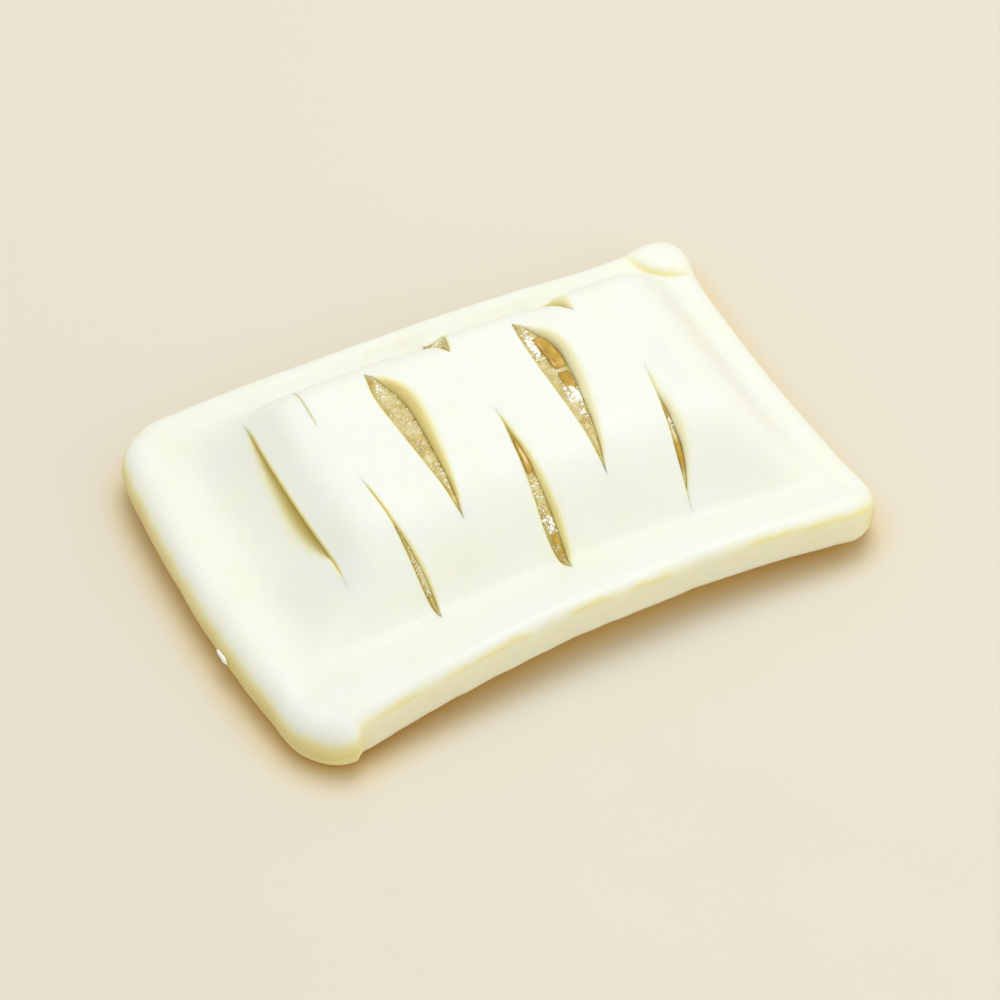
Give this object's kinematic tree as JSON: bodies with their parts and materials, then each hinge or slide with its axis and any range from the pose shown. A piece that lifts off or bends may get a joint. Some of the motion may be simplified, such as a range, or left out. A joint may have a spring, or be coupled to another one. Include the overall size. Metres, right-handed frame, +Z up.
{
  "type": "mini apple pie",
  "caption": "Small rectangular apple pie of raw dough: a pillowed lid with staggered cuts that show diced apple filling, sealed to the base sheet in a raised rim.",
  "frame": {"origin": "under the middle of the pie, on the surface that it rests on", "axes": "+X along the long sides, +Y from the near long side to the far one, +Z up out of the lid"},
  "size_m": [0.0896, 0.0618, 0.0155],
  "materials": {
    "raw_dough": "smooth raw dough, off-white with a faint yellow, satin",
    "apple_filling": "straw to amber diced apple in gel, moist, with frost crystals"
  },
  "bodies": {
    "root": {"dough_base": "raw_dough", "apple_filling": "apple_filling", "dough_lid": "raw_dough"}
  },
  "joints": []
}
